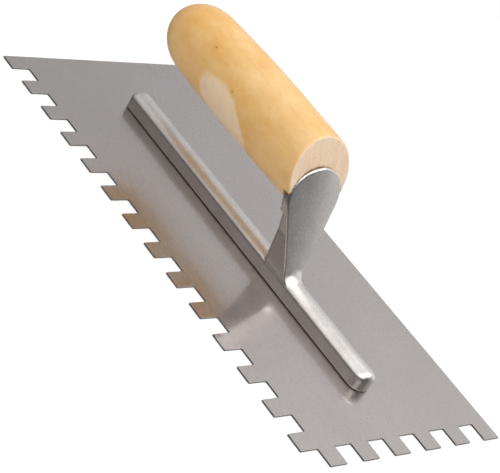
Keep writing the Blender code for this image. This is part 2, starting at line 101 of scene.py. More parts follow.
WEB_FOOT_HALF_THICKNESS = 5.5 * MM
WEB_DRAFT = 0.035
WEB_BACK_RADIUS = 2.0 * MM
BACK_CORNER_SHARE = 0.4             # largest radius of the back's corners, of its half width
BACK_CORNER_DEPTH_SHARE = 0.35      # and of the depth from there to the leaf
SWEEP_SLOPE = 1.2                   # of the hollow from the leaf's edge to the web: depth / width
LEAST_BACK_SHARE = 0.5              # least width behind the leaf, of the leaf's own
BAR_CORNER_SHARE = 0.98             # largest corner of the bar in plan, of its half width
LEAST_STEP = 0.1 * MM               # keeps neighbouring points of a section apart
CAST_VOXEL = 0.3 * MM
CAST_SMOOTHING = 4                  # rounds that soften the casting's inner and outer corners
CAST_THINNING = 0.5                 # share of the triangles kept after that

# Mounting, tang
TANG_BASE_RADIUS = 3.9 * MM
TANG_TIP_RADIUS = 3.5 * MM
TANG_LENGTH = 55 * MM
TANG_ROOT = 2.0 * MM
TANG_CHAMFER = 1.0 * MM

# Handle
AXIS_Z = sum(corner.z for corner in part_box("handle_washer")) / 2
HANDLE_BACK_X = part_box("handle")[0].x
HANDLE_DOME_START = -78 * MM
HANDLE_DOME_RADIUS = 17.95 * MM
HANDLE_BARREL = (                   # (x, radius) along the barrel, joined by a smooth curve
    (30 * MM, 18.3 * MM),
    (16 * MM, 18.45 * MM),
    (0 * MM, 18.7 * MM),
    (-16 * MM, 18.95 * MM),
    (-32 * MM, 19.1 * MM),
    (-48 * MM, 18.9 * MM),
    (-64 * MM, 18.5 * MM),
    (-78 * MM, 17.95 * MM),
)
SAW_CUT_X = 21.6 * MM
SAW_CUT_LEAN = 0.34
SAW_EDGE_RADIUS = 1.2 * MM
LEAN_END_X = -12 * MM               # the handle's rings lean with the saw cut as far as here
COUNTERBORE_RADIUS = 6.8 * MM
COUNTERBORE_FLOOR_X = -88 * MM
COUNTERBORE_CHAMFER = 0.5 * MM

# Screw and washer
SCREW_RADIUS = 2.0 * MM
SCREW_GRIP = 14 * MM
SCREW_HEAD_RADIUS = 4.6 * MM
SCREW_HEAD_HEIGHT = 3.6 * MM
SCREW_SLOT_WIDTH = 1.2 * MM
SCREW_SLOT_DEPTH = 1.6 * MM
SCREW_DOME = 1.2 * MM               # radius of the head's rim
WASHER_RADIUS = 6.2 * MM
WASHER_HOLE_RADIUS = 2.4 * MM
WASHER_THICKNESS = 1.2 * MM

# Rivets
RIVET_RADIUS = 2.0 * MM
RIVET_HEAD_RADIUS = 2.8 * MM
RIVET_LENGTH = 5.2 * MM

# Camera: it aims at a point above the blade and is turned about its own axis
AIM = Vector((30.5, -34.0, 30.0)) * MM
CAMERA_AZIMUTH = 37.90
CAMERA_ELEVATION = 29.58
CAMERA_ROLL = 30.21
CAMERA_DISTANCE = 761.3 * MM
LENS = 123.42

# Finishes. A noise mostly lies between NOISE_LOW and NOISE_HIGH, and that range is what runs
# from a finish's dark shade to its light one, and from its least roughness to its greatest.
NOISE_LOW = 0.3
NOISE_HIGH = 0.7
STEEL_DARK = (0.475, 0.430, 0.418, 1.0)
STEEL_LIGHT = (0.505, 0.460, 0.448, 1.0)
STEEL_ROUGHNESS = (0.26, 0.29)
STEEL_BRUSHING_DEPTH = 0.006 * MM
CASTING_DARK = (0.755, 0.72, 0.69, 1.0)
CASTING_LIGHT = (0.83, 0.80, 0.775, 1.0)
CASTING_ROUGHNESS = (0.34, 0.44)
CASTING_GRAIN_DEPTH = 0.08 * MM
RIVET_TINT = (0.80, 0.80, 0.80)
RIVET_ROUGHNESS = 0.35
ZINC_TINT = (0.62, 0.63, 0.65)
ZINC_ROUGHNESS = 0.28
TURNING_MARK_DEPTH = 0.02 * MM
WOOD_GRAIN_DEPTH = 0.02 * MM
WOOD_PORE_DEPTH = 0.04 * MM

# The handle's wood: honey-coloured, with a pale patch low on its -Y side and two
# pin knots. Each knot is its centre and its half-widths.
WOOD_DARK = (0.83, 0.465, 0.135, 1.0)
WOOD_LIGHT = (0.91, 0.595, 0.26, 1.0)
PALE_PATCH_TONE = (0.93, 0.70, 0.455, 1.0)
KNOT_SHADE = (0.45, 0.17, 0.04, 1.0)
KNOT_HALO = (0.75, 0.33, 0.06, 1.0)
END_GRAIN_DARK = (0.82, 0.61, 0.42, 1.0)
END_GRAIN_LIGHT = (0.89, 0.69, 0.50, 1.0)
PATCH_CENTRE = Vector((-32.0, -19.0, 44.0)) * MM
PATCH_RADII = Vector((24.0, 30.0, 15.0)) * MM
PATCH_TILT = -0.6                   # radians, nose down towards the dome
PATCH_SOFTNESS = 0.09               # of its edge, as a share of its radii
PATCH_WOBBLE = 0.08
PIN_KNOTS = (
    (Vector((-58.6, -14.6, 69.2)) * MM, Vector((0.7, 1.2, 0.55)) * MM),
    (Vector((-33.2, -18.1, 62.2)) * MM, Vector((0.42, 1.0, 0.4)) * MM),
)
KNOT_SOFTNESS = 0.4
KNOT_WOBBLE = 0.2
HALO_SIZE = 3.0                     # of the stain round a knot, in the knot's own sizes
HALO_SOFTNESS = 0.7
HALO_WOBBLE = 0.3
HALO_STRENGTH = 0.3

# The studio round the trowel. Each lamp is a square of soft light: its name, the direction
# it stands in, its width in metres, its power in watts, and its tint.
LAMP_DISTANCE = 1.5
LAMPS = (
    ("overhead", (0.30, 0.30, 0.90), 0.8, 9.0, (1.0, 1.0, 1.0)),
    ("above", (0.10, -0.20, 0.97), 0.8, 5.8, (1.0, 1.0, 1.0)),
    ("behind", (-0.10, 0.48, 0.87), 0.7, 3.9, (1.0, 1.0, 1.0)),
    ("near", (0.0, -0.55, 0.83), 0.8, 2.0, (1.0, 0.99, 0.97)),
    ("near_right", (0.50, -0.50, 0.70), 0.8, 4.0, (1.0, 0.98, 0.96)),
    ("left", (-0.45, -0.10, 0.90), 0.8, 1.9, (1.0, 0.98, 0.97)),
    ("near_left", (-0.40, -0.55, 0.73), 0.8, 1.0, (1.0, 0.97, 0.95)),
    ("low_left", (-0.50, -0.70, 0.50), 0.8, 0.6, (1.0, 0.94, 0.89)),
    ("low_far", (0.35, 0.90, 0.05), 0.8, 1.2, (1.0, 1.0, 1.0)),
)
# The room's glow: the direction of each soft bright side, the cosine of the angle from it
# where its light starts, and its strength straight ahead.
GLOWS = (
    ((-0.534, 0.686, 0.494), 0.3, 0.41),
    ((0.0, 0.87, 0.5), 0.75, 0.26),
    ((0.0, 1.0, 0.0), 0.0, 0.235),
    ((0.0, -1.0, 0.0), 0.0, 0.08),
    ((0.3, 0.92, -0.28), 0.5, 0.14),
    ((0.8, 0.5, -0.1), 0.6, 0.08),
)
FLOOR_RADIUS = 6.0
FLOOR_SIDES = 96
FLOOR_DROP = 0.15 * MM              # below the blade

# How finely round shapes are divided
ROUND_STEPS = 128
SMALL_STEPS = 64
SAW_EDGE_STEPS = 8
DOME_STEPS = 28
BARREL_STEPS = 12
LEAN_STEPS = 16


# ---------------------------------------------------------------- mesh helpers

def arc(centre, radius, start, end, steps):
    """Points along an arc, from the angle start to the angle end in radians, both ends included."""
    angles = [start + (end - start) * i / steps for i in range(steps + 1)]
    return [(centre[0] + radius * math.cos(a), centre[1] + radius * math.sin(a)) for a in angles]


def new_object(name, mesh, *materials):
    """An object in the scene that shows the mesh, with its material slots in that order."""
    for material in materials:
        mesh.materials.append(material)
    obj = bpy.data.objects.new(name, mesh)
    bpy.context.scene.collection.objects.link(obj)
    return obj


def skin(name, rows, closed=False):
    """A mesh over rings of equal point counts. The two end rings are capped, or joined if closed."""
    shape = bmesh.new()
    rings = [[shape.verts.new(point) for point in row] for row in rows]
    pairs = list(zip(rings, rings[1:]))
    if closed:
        pairs.append((rings[-1], rings[0]))
    for near, far in pairs:
        for i in range(len(near)):
            j = (i + 1) % len(near)
            shape.faces.new((near[i], near[j], far[j], far[i]))
    if not closed:
        shape.faces.new(list(reversed(rings[0])))
        shape.faces.new(rings[-1])
    bmesh.ops.recalc_face_normals(shape, faces=shape.faces)
    mesh = bpy.data.meshes.new(name)
    shape.to_mesh(mesh)
    shape.free()
    return mesh


def ring_along_x(x, radius, steps):
    """A ring about the handle's axis."""
    turns = [2 * math.pi * i / steps for i in range(steps)]
    return [Vector((x, radius * math.sin(a), AXIS_Z + radius * math.cos(a))) for a in turns]


def turned_along_x(name, profile, steps, closed=False):
    """A solid of revolution about the handle's axis, from (x, radius) points."""
    return skin(name, [ring_along_x(x, radius, steps) for x, radius in profile], closed)


def evaluated_mesh(obj):
    """The object's mesh with its modifiers applied."""
    bpy.context.view_layer.update()
    source = obj.evaluated_get(bpy.context.evaluated_depsgraph_get())
    return bpy.data.meshes.new_from_object(source)


def apply_modifiers(obj):
    obj.data = evaluated_mesh(obj)
    obj.modifiers.clear()
    return obj


def subtract(obj, cutter_mesh):
    """Cuts one mesh out of an object, and keeps the cutter's material numbers on the new faces."""
    cutter = new_object(f"{obj.name}_cutter", cutter_mesh, *obj.data.materials)
    step = obj.modifiers.new("cut", "BOOLEAN")
    step.operation = "DIFFERENCE"
    step.solver = "EXACT"
    step.object = cutter
    apply_modifiers(obj)
    bpy.data.objects.remove(cutter, do_unlink=True)
    return obj


def shade_smooth(obj, sharp_angle):
    """Smooth shading, but for edges that turn by more than the angle in degrees."""
    obj.data.shade_smooth()
    obj.data.set_sharp_from_angle(angle=math.radians(sharp_angle))
    return obj


def stands_for(obj, node):
    """Puts a fine piece in the place of a CAD node."""
    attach(obj, "root")
    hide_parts(node)
    return obj


# ---------------------------------------------------------------- material helpers

def new_material(name):
    material = bpy.data.materials.new(name)
    material.use_nodes = True
    return material, material.node_tree, material.node_tree.nodes["Principled BSDF"]


def node(tree, kind, sockets=None, **settings):
    """A new node. settings are its attributes; sockets are its inputs' values or links."""
    made = tree.nodes.new(f"ShaderNode{kind}")
    for name, value in settings.items():
        setattr(made, name, value)
    for key, value in (sockets or {}).items():
        if isinstance(value, bpy.types.NodeSocket):
            tree.links.new(value, made.inputs[key])
        else:
            made.inputs[key].default_value = value
    return made


def place_in(tree, scale=(1.0, 1.0, 1.0)):
    """The piece's own coordinates, stretched for a texture."""
    coordinates = node(tree, "TexCoord").outputs["Object"]
    return node(tree, "Mapping", {"Vector": coordinates, "Scale": scale}).outputs["Vector"]


def noise(tree, vector, scale=1.0, detail=2.0, roughness=0.5):
    """Cloudy noise from 0 to 1. Each step of detail adds a finer layer."""
    return node(tree, "TexNoise", {"Vector": vector, "Scale": scale, "Detail": detail,
                                   "Roughness": roughness}).outputs["Fac"]


def rescale(tree, value, low, high, new_low, new_high):
    """A value mapped smoothly from one range to another, and held within it."""
    return node(tree, "MapRange", {"Value": value, "From Min": low, "From Max": high,
                                   "To Min": new_low, "To Max": new_high},
                interpolation_type="SMOOTHSTEP").outputs["Result"]


def spread(tree, value, new_low=0.0, new_high=1.0):
    """A noise's usual range, spread over a new one."""
    return rescale(tree, value, NOISE_LOW, NOISE_HIGH, new_low, new_high)


def mix_colours(tree, factor, first, second, mode="MIX"):
    """The first colour where factor is 0 and the second where it is 1, or the two multiplied."""
    mixer = tree.nodes.new("ShaderNodeMix")
    mixer.data_type = "RGBA"
    mixer.blend_type = mode
    for index, value in ((0, factor), (6, first), (7, second)):
        if isinstance(value, bpy.types.NodeSocket):
            tree.links.new(value, mixer.inputs[index])
        else:
            mixer.inputs[index].default_value = value
    return mixer.outputs[2]


def multiply(tree, first, second):
    return mix_colours(tree, 1.0, first, second, "MULTIPLY")


def vary(tree, value, dark, light):
    """A colour that runs from dark to light as a noise does."""
    return mix_colours(tree, spread(tree, value), dark, light)


def grey(value):
    return (value, value, value, 1.0)


def colour(red, green, blue):
    return (red, green, blue, 1.0)


def bump(tree, height, distance, strength, normal=None):
    """Shallow relief that height raises by up to distance, over another relief if there is one."""
    made = node(tree, "Bump", {"Height": height, "Distance": distance, "Strength": strength})
    if normal:
        tree.links.new(normal, made.inputs["Normal"])
    return made.outputs["Normal"]


def connect(tree, shader, **sockets):
    """Links outputs to a shader's inputs. Underscores in a name stand for spaces."""
    for name, output in sockets.items():
        tree.links.new(output, shader.inputs[name.replace("_", " ")])


# ---------------------------------------------------------------- materials

def make_blade_steel():
    """Satin rolled steel: a broad soft sheen with a sharper one over it, and fine brushing."""
    material, tree, shader = new_material("blade_steel_satin")
    brushing = noise(tree, place_in(tree, (160.0, 6000.0, 6000.0)), detail=3.0)
    clouds = noise(tree, place_in(tree, (14.0, 22.0, 22.0)), detail=3.0)
    tint = vary(tree, clouds, STEEL_DARK, STEEL_LIGHT)
    lined = vary(tree, brushing, grey(0.985), grey(1.0))
    shader.inputs["Metallic"].default_value = 1.0
    shader.inputs["Coat Weight"].default_value = 1.0
    shader.inputs["Coat Roughness"].default_value = 0.1
    shader.inputs["Coat IOR"].default_value = 1.7
    connect(tree, shader,
            Base_Color=multiply(tree, tint, lined),
            Roughness=spread(tree, brushing, *STEEL_ROUGHNESS),
            Normal=bump(tree, brushing, STEEL_BRUSHING_DEPTH, 0.12))
    return material


def make_cast_aluminium():
    """Blasted cast aluminium: a fine grain of dimples over a coarser one."""
    material, tree, shader = new_material("cast_aluminium_blasted")
    fine = noise(tree, place_in(tree), 1300.0, 3.0, 0.65)
    coarse = noise(tree, place_in(tree), 520.0, 2.0)
    clouds = noise(tree, place_in(tree), 90.0, 3.0)
    tint = vary(tree, clouds, CASTING_DARK, CASTING_LIGHT)
    speckle = mix_colours(tree, rescale(tree, fine, 0.35, 0.65, 0.0, 1.0), grey(0.82), grey(1.0))
    dimples = bump(tree, coarse, CASTING_GRAIN_DEPTH, 0.5)
    shader.inputs["Metallic"].default_value = 1.0
    connect(tree, shader,
            Base_Color=multiply(tree, tint, speckle),
            Roughness=spread(tree, coarse, *CASTING_ROUGHNESS),
            Normal=bump(tree, fine, CASTING_GRAIN_DEPTH, 0.6, dimples))
    return material


def make_turned_metal(name, tint, roughness):
    """A small machined piece, with faint marks in its shine."""
    material, tree, shader = new_material(name)
    marks = noise(tree, place_in(tree), 1500.0, 3.0)
    shader.inputs["Metallic"].default_value = 1.0
    connect(tree, shader,
            Base_Color=vary(tree, marks, colour(*(0.88 * c for c in tint)), colour(*tint)),
            Roughness=spread(tree, marks, 0.8 * roughness, 1.2 * roughness),
            Normal=bump(tree, marks, TURNING_MARK_DEPTH, 0.4))
    return material


def within(tree, centre, radii, tilt, soft, wobble):
    """1 inside an ellipsoid in the piece's own coordinates and 0 outside, with an uneven edge.

    tilt leans its long axis, in the XZ plane. soft and wobble are shares of its radii: how
    wide the edge is, and how far noise pushes it in and out."""
    coordinates = node(tree, "TexCoord").outputs["Object"]
    from_centre = node(tree, "VectorMath", {0: coordinates, 1: centre},
                       operation="SUBTRACT").outputs["Vector"]
    turned = node(tree, "VectorRotate", {"Vector": from_centre, "Angle": tilt},
                  rotation_type="Y_AXIS").outputs["Vector"]
    scaled = node(tree, "VectorMath", {0: turned, 1: radii}, operation="DIVIDE").outputs["Vector"]
    distance = node(tree, "VectorMath", {0: scaled}, operation="LENGTH").outputs["Value"]
    push = noise(tree, place_in(tree, (90.0, 90.0, 90.0)), detail=3.0)
    pushed = node(tree, "Math", {0: distance, 1: rescale(tree, push, 0.2, 0.8, -wobble, wobble)}
                  ).outputs["Value"]
    return rescale(tree, pushed, 1.0 - soft, 1.0 + soft, 1.0, 0.0)


def make_lacquered_wood():
    """Honey-coloured turned wood under clear lacquer, with a pale patch and two pin knots."""
    material, tree, shader = new_material("handle_wood_lacquered")
    grain = noise(tree, place_in(tree, (30.0, 420.0, 420.0)), detail=4.0, roughness=0.6)
    flecks = noise(tree, place_in(tree, (210.0, 420.0, 420.0)), detail=3.0)
    mottle = noise(tree, place_in(tree, (60.0, 80.0, 80.0)), detail=4.0, roughness=0.55)
    honey = mix_colours(tree, rescale(tree, mottle, 0.25, 0.75, 0.0, 1.0), WOOD_DARK, WOOD_LIGHT)
    patch = within(tree, PATCH_CENTRE, PATCH_RADII, PATCH_TILT, PATCH_SOFTNESS, PATCH_WOBBLE)
    # Paler colour over the patch, low on the handle's -Y side.
    wood = mix_colours(tree, patch, honey, PALE_PATCH_TONE)
    for centre, radii in PIN_KNOTS:
        halo = within(tree, centre, radii * HALO_SIZE, 0.0, HALO_SOFTNESS, HALO_WOBBLE)
        wood = mix_colours(tree, halo, wood, mix_colours(tree, HALO_STRENGTH, wood, KNOT_HALO))
        knot = within(tree, centre, radii, 0.0, KNOT_SOFTNESS, KNOT_WOBBLE)
        wood = mix_colours(tree, knot, wood, KNOT_SHADE)
    lined = vary(tree, grain, grey(0.97), grey(1.0))
    flecked = mix_colours(tree, rescale(tree, flecks, 0.25, 0.5, 0.0, 1.0),
                          colour(0.96, 0.92, 0.85), grey(1.0))
    body = multiply(tree, multiply(tree, wood, lined), flecked)
    shader.inputs["Roughness"].default_value = 0.42
    shader.inputs["Coat Weight"].default_value = 0.45
    shader.inputs["Coat Roughness"].default_value = 0.3
    connect(tree, shader, Base_Color=body, Normal=bump(tree, grain, WOOD_GRAIN_DEPTH, 0.3))
    return material


def make_bare_wood():
    """The sawn front of the handle: bare end grain, with short dark pores along the rays."""
    material, tree, shader = new_material("handle_wood_end_grain")
    pores = noise(tree, place_in(tree, (1100.0, 700.0, 1400.0)), detail=3.0)
    rays = noise(tree, place_in(tree, (60.0, 900.0, 120.0)), detail=3.0)
    tint = vary(tree, rays, END_GRAIN_DARK, END_GRAIN_LIGHT)
    pored = mix_colours(tree, rescale(tree, pores, 0.28, 0.45, 0.0, 1.0),
                        colour(0.90, 0.84, 0.77), grey(1.0))
    shader.inputs["Roughness"].default_value = 0.75
    connect(tree, shader,
            Base_Color=multiply(tree, tint, pored),
            Normal=bump(tree, pores, WOOD_PORE_DEPTH, 0.4))
    return material


def make_floor_paint():
    """Matt white, very slightly uneven."""
    material, tree, shader = new_material("floor_paint")
    mottle = noise(tree, place_in(tree), 30.0, 3.0)
    shader.inputs["Roughness"].default_value = 0.9
    shader.inputs["Specular IOR Level"].default_value = 0.1
    connect(tree, shader, Base_Color=mix_colours(tree, mottle, grey(0.95), grey(0.97)))
    return material


# ---------------------------------------------------------------- blade

def blade_corners():
    """The blade's corners, anticlockwise from the plain short end's far corner."""
    x, y = BLADE_HIGH.x, BLADE_HIGH.y
    corners = [(-x, y), (-x, -y)]
    for i in range(1, round(2 * x / NOTCH) - 1, 2):
        left = i * NOTCH - x
        corners += [(left, -y), (left, NOTCH - y), (left + NOTCH, NOTCH - y), (left + NOTCH, -y)]
    corners += [(x - NOTCH, -y)]
    for i in range(1, round(2 * y / NOTCH), 2):
        low = i * NOTCH - y
        corners += [(x - NOTCH, low), (x, low), (x, low + NOTCH), (x - NOTCH, low + NOTCH)]
    return corners[:-1]


def rounded_corners(corners):
    """The outline with an arc at each right-angled corner: wider in a notch than on a tooth."""
    points = []
    steps = 4
    for i, corner in enumerate(corners):
        here = Vector(corner)
        back = (Vector(corners[i - 1]) - here).normalized()
        ahead = (Vector(corners[(i + 1) % len(corners)]) - here).normalized()
        inner = back.cross(ahead) > 0.0
        radius = NOTCH_CORNER if inner else TOOTH_CORNER
        centre = here + (back + ahead) * radius
        for k in range(steps + 1):
            turn = math.pi / 2 * k / steps
            points.append(centre - ahead * radius * math.cos(turn) - back * radius * math.sin(turn))
    return points


def add_spline(curve, points):
    spline = curve.splines.new("POLY")
    spline.points.add(len(points) - 1)
    for point, (x, y) in zip(spline.points, points):
        point.co = (x, y, 0.0, 1.0)
    spline.use_cyclic_u = True


def make_blade(material):
    """A flat outline with the rivets' holes in it, as thick as the sheet, its edges broken."""
    curve = bpy.data.curves.new("blade_outline", "CURVE")
    curve.dimensions = "2D"
    curve.fill_mode = "BOTH"
    thickness = BLADE_HIGH.z - BLADE_LOW.z
    curve.extrude = thickness / 2 - BLADE_CHAMFER
    curve.bevel_depth = BLADE_CHAMFER
    curve.bevel_resolution = 1
    curve.offset = -BLADE_CHAMFER
    add_spline(curve, rounded_corners(blade_corners()))
    for x in rivet_positions():
        add_spline(curve, arc((x, 0.0), RIVET_HEAD_RADIUS + RIVET_CLEARANCE, 0.0,
                              2 * math.pi * (1 - 1 / SMALL_STEPS), SMALL_STEPS - 1))
    guide = bpy.data.objects.new("blade_outline", curve)
    bpy.context.scene.collection.objects.link(guide)
    guide.location.z = thickness / 2
    mesh = evaluated_mesh(guide)
    mesh.transform(Matrix.Translation(guide.location))
    bpy.data.objects.remove(guide, do_unlink=True)
    shape = bmesh.new()
    shape.from_mesh(mesh)
    bmesh.ops.remove_doubles(shape, verts=shape.verts, dist=0.001 * MM)
    shape.to_mesh(mesh)
    shape.free()
    mesh.materials.clear()
    blade = new_object("blade_sheet", mesh, material)
    shade_smooth(blade, 5)
    return stands_for(blade, "blade")


# ---------------------------------------------------------------- rivets

def rivet_nodes():
    return sorted(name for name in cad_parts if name.startswith("rivet_"))


def rivet_positions():
    """Where the rivets stand along the blade, read from their CAD nodes."""
    return [(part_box(name)[0].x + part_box(name)[1].x) / 2 for name in rivet_nodes()]


def rivet_profile():
    """(radius, height) from the flush head's middle, round the head and up the shank."""
    dimple_radius = 0.9 * MM
    dimple_depth = 0.15 * MM
    edge = 0.1 * MM
    return [(dimple_radius / 2, dimple_depth),
            (dimple_radius, dimple_depth / 5),
            (dimple_radius + edge, 0.0),
            (RIVET_HEAD_RADIUS - edge, 0.0),
            (RIVET_HEAD_RADIUS, edge),
            (RIVET_RADIUS, BLADE_HIGH.z),
            (RIVET_RADIUS, RIVET_LENGTH - edge),
            (RIVET_RADIUS - edge, RIVET_LENGTH)]


def make_rivets(material):
    """Seven alike: a flush countersunk head below, and a shank up into the bar."""
    turns = [2 * math.pi * i / SMALL_STEPS for i in range(SMALL_STEPS)]
    for name, x in zip(rivet_nodes(), rivet_positions()):
        rows = [[Vector((x + radius * math.cos(a), radius * math.sin(a), height)) for a in turns]
                for radius, height in rivet_profile()]
        rivet = new_object(f"{name}_flush", skin(name, rows), material)
        shade_smooth(rivet, 30)
        stands_for(rivet, name)


# ---------------------------------------------------------------- mounting

def bar_outline(length, width, near_corner, far_corner, steps):
    """The bar in plan: a rectangle whose corners may be rounder at one end than at the other."""
    corners = ((1, 1, near_corner, 0.0), (-1, 1, far_corner, 0.5),
               (-1, -1, far_corner, 1.0), (1, -1, near_corner, 1.5))
    points = []
    for end, side, radius, turn in corners:
        centre = (end * (length / 2 - radius), side * (width / 2 - radius))
        points += arc(centre, radius, turn * math.pi, (turn + 0.5) * math.pi, steps)
    return points


def soft_least(first, second, blend):
    """The lesser of two lengths, eased by up to a quarter of blend where they are alike."""
    nearness = max(blend - abs(first - second), 0.0) / blend
    return min(first, second) - nearness ** 2 * blend / 4


def crown_height(y):
    """Height of the bar's domed top, across the bar."""
    return BAR_TOP - BAR_CROWN_RADIUS + math.sqrt(max(BAR_CROWN_RADIUS ** 2 - y ** 2, 0.0))


def bar_half_width(z):
    """Half the bar's width: a drafted flank that turns softly into the crown."""
    flank = BAR_WIDTH / 2 - BAR_DRAFT * (z - BAR_BOTTOM) / (BAR_TOP - BAR_BOTTOM)
    crown = math.sqrt(max(BAR_CROWN_RADIUS ** 2 - (z - BAR_TOP + BAR_CROWN_RADIUS) ** 2, 0.0))
    return max(soft_least(flank, crown, BAR_EDGE_BLEND), 2 * LEAST_STEP)


def bar_mesh():
    """The foot on the blade: drafted flanks, a domed top and upright, rounded ends."""
    crown_steps = 24
    corner_steps = 12
    heights = [BAR_BOTTOM]
    for i in range(crown_steps + 1):
        turn = math.pi / 2 * i / crown_steps
        heights.append(BAR_TOP - BAR_CROWN_DEPTH * (1 - math.sin(turn)))
    rows = []
    for z in heights:
        rise = max(z - BAR_TOP + BAR_END_SHOULDER, 0.0)
        end = BAR_END_SHOULDER - math.sqrt(BAR_END_SHOULDER ** 2 - rise ** 2)
        half_width = bar_half_width(z)
        inset = BAR_WIDTH / 2 - half_width
        near, far = (min(max(corner - inset, BAR_LEAST_CORNER), BAR_CORNER_SHARE * half_width)
                     for corner in (BAR_NEAR_CORNER, BAR_FAR_CORNER))
        outline = bar_outline(BAR_LENGTH - 2 * end, 2 * half_width, near, far, corner_steps)
        rows.append([Vector((BAR_CENTRE_X + x, y, z)) for x, y in outline])
    return skin("bar", rows)


def leaf_front(z):
    """The x of the leaf's middle line, before its foot runs out into the bar."""
    return LEAF_FOOT_X - LEAF_LEAN * (z - LEAF_FOOT_Z)


def half_width_of_head(z, radius, flattening):
    """Half the width of a round whose upper half is flattened, at the height z."""
    rise = z - HEAD_Z
    if rise > 0.0:
        rise /= flattening
    return math.sqrt(max(radius ** 2 - rise ** 2, 0.0))


def leaf_half_width(z):
    """Half the leaf's width: a straight foot, a flare, a straight taper and the round head."""
    meet_z = HEAD_Z - HEAD_RADIUS * math.sin(HEAD_TANGENT)
    if z > meet_z:
        return half_width_of_head(z, HEAD_RADIUS, HEAD_FLATTENING)
    if z < LEAF_FLARE_START:
        return LEAF_FOOT_HALF_WIDTH
    flare = LEAF_FLARE_END - LEAF_FLARE_START
    run = flare / 2 + meet_z - LEAF_FLARE_END
    taper = (HEAD_RADIUS * math.cos(HEAD_TANGENT) - LEAF_FOOT_HALF_WIDTH) / run
    flared = min(z, LEAF_FLARE_END) - LEAF_FLARE_START
    return LEAF_FOOT_HALF_WIDTH + taper * (flared ** 2 / (2 * flare) + max(z - LEAF_FLARE_END, 0.0))


def leaf_face_x(y, z):
    """The face's x: it leans back, is crowned sideways, rolls over at its rim, and runs out
    into the bar's top in a hollow."""
    if z > HEAD_Z:
        inside = HEAD_RADIUS - math.hypot(y, (z - HEAD_Z) / HEAD_FLATTENING)
    elif z > HEAD_Z - HEAD_RADIUS * math.sin(HEAD_TANGENT):
        inside = HEAD_RADIUS - math.hypot(y, z - HEAD_Z)
    else:
        inside = (leaf_half_width(z) - y) * math.cos(HEAD_TANGENT)
    inside = min(max(inside, 0.0), LEAF_EDGE_RADIUS)
    roll = LEAF_EDGE_RADIUS - math.sqrt(LEAF_EDGE_RADIUS ** 2 - (LEAF_EDGE_RADIUS - inside) ** 2)
    hollow = LEAF_FOOT_FILLET - min(max(z - crown_height(y), 0.0), LEAF_FOOT_FILLET)
    run_out = LEAF_FOOT_FILLET - math.sqrt(LEAF_FOOT_FILLET ** 2 - hollow ** 2)
    return leaf_front(z) - y ** 2 / (2 * LEAF_CROWN_RADIUS) - roll + run_out


def post_back(z):
    """The post's back edge: the web's straight slope, then a soft shoulder up to the boss."""
    slope = WEB_FOOT_X - WEB_LEAN * (z - LEAF_FOOT_Z)
    rise = min(max((z - WEB_TOP) / (WEB_SHOULDER_TOP - WEB_TOP), 0.0), 1.0)
    ease = rise * rise * (3 - 2 * rise)
    return slope + (BOSS_BACK_X - slope) * ease


def post_back_half_width(z):
    """Half the post's thickness behind the leaf: the web, then the round boss."""
    web = WEB_FOOT_HALF_THICKNESS - WEB_DRAFT * max(z - LEAF_FOOT_Z, 0.0)
    boss = half_width_of_head(z, BOSS_RADIUS, BOSS_FLATTENING)
    width = max(web, boss) if z < HEAD_Z else boss
    return max(min(width, leaf_half_width(z) - LEAST_STEP), LEAST_BACK_SHARE * leaf_half_width(z))


def post_section(z):
    """The post cut at one height: half of it from the face's middle to the back's, then its mirror."""
    face_steps = 24
    roll_steps = 8
    width = leaf_half_width(z)
    back_width = post_back_half_width(z)
    back = post_back(z)
    half = []
    for i in range(face_steps + 1):
        y = width * math.sin(math.pi / 2 * i / face_steps)
        half.append((leaf_face_x(y, z), y))
    edge_x = leaf_front(z) - width ** 2 / (2 * LEAF_CROWN_RADIUS) - LEAF_THICKNESS
    edge_x = min(edge_x, half[-1][0] - LEAST_STEP)
    above_boss = min(max((z - BOSS_TOP) / BOSS_TOP_EASE + 1.0, 0.0), 1.0)
    thinnest_back = edge_x - 4 * LEAST_STEP
    back += (thinnest_back - back) * above_boss
    corner = min(WEB_BACK_RADIUS, BACK_CORNER_SHARE * back_width,
                 BACK_CORNER_DEPTH_SHARE * (edge_x - back))
    sweep = min(SWEEP_SLOPE * (width - back_width) + LEAST_STEP,
                edge_x - back - corner - LEAST_STEP)
    for i in range(roll_steps + 1):
        turn = math.pi / 2 * i / roll_steps
        half.append((edge_x - sweep + sweep * math.cos(turn),
                     width - (width - back_width) * math.sin(turn)))
    half += arc((back + corner, back_width - corner), corner, math.pi / 2, math.pi, roll_steps)
    half.append((back, 0.0))
    mirrored = [(x, -y) for x, y in reversed(half[1:-1])]
    return [Vector((x, y, z)) for x, y in half + mirrored]


def post_mesh():
    """The post as a skin over closely spaced sections."""
    step = 0.4 * MM
    straight = HEAD_Z - POST_FOOT
    count = round(straight / step)
    heights = [POST_FOOT + straight * i / count for i in range(count)]
    turns = round(HEAD_RADIUS * math.pi / 2 / step)
    last = 0.99                     # the last section is this far round the head's quarter turn
    heights += [HEAD_Z + HEAD_FLATTENING * HEAD_RADIUS * math.sin(last * math.pi / 2 * i / turns)
                for i in range(turns + 1)]
    return skin("post", [post_section(z) for z in heights])


def tang_mesh():
    """The peg inside the handle, with the screw's hole up its middle."""
    tip_x = BOSS_BACK_X - TANG_LENGTH
    hole = SCREW_RADIUS + GAP
    profile = [(tip_x + SCREW_GRIP, hole),
               (tip_x, hole),
               (tip_x, TANG_TIP_RADIUS - TANG_CHAMFER),
               (tip_x + TANG_CHAMFER, TANG_TIP_RADIUS),
               (BOSS_BACK_X, TANG_BASE_RADIUS),
               (BOSS_BACK_X + TANG_ROOT, TANG_BASE_RADIUS)]
    return turned_along_x("tang", profile, SMALL_STEPS)


def joined(name, meshes):
    """Several meshes as one, still crossing where they cross."""
    shape = bmesh.new()
    for mesh in meshes:
        shape.from_mesh(mesh)
    result = bpy.data.meshes.new(name)
    shape.to_mesh(result)
    shape.free()
    return result


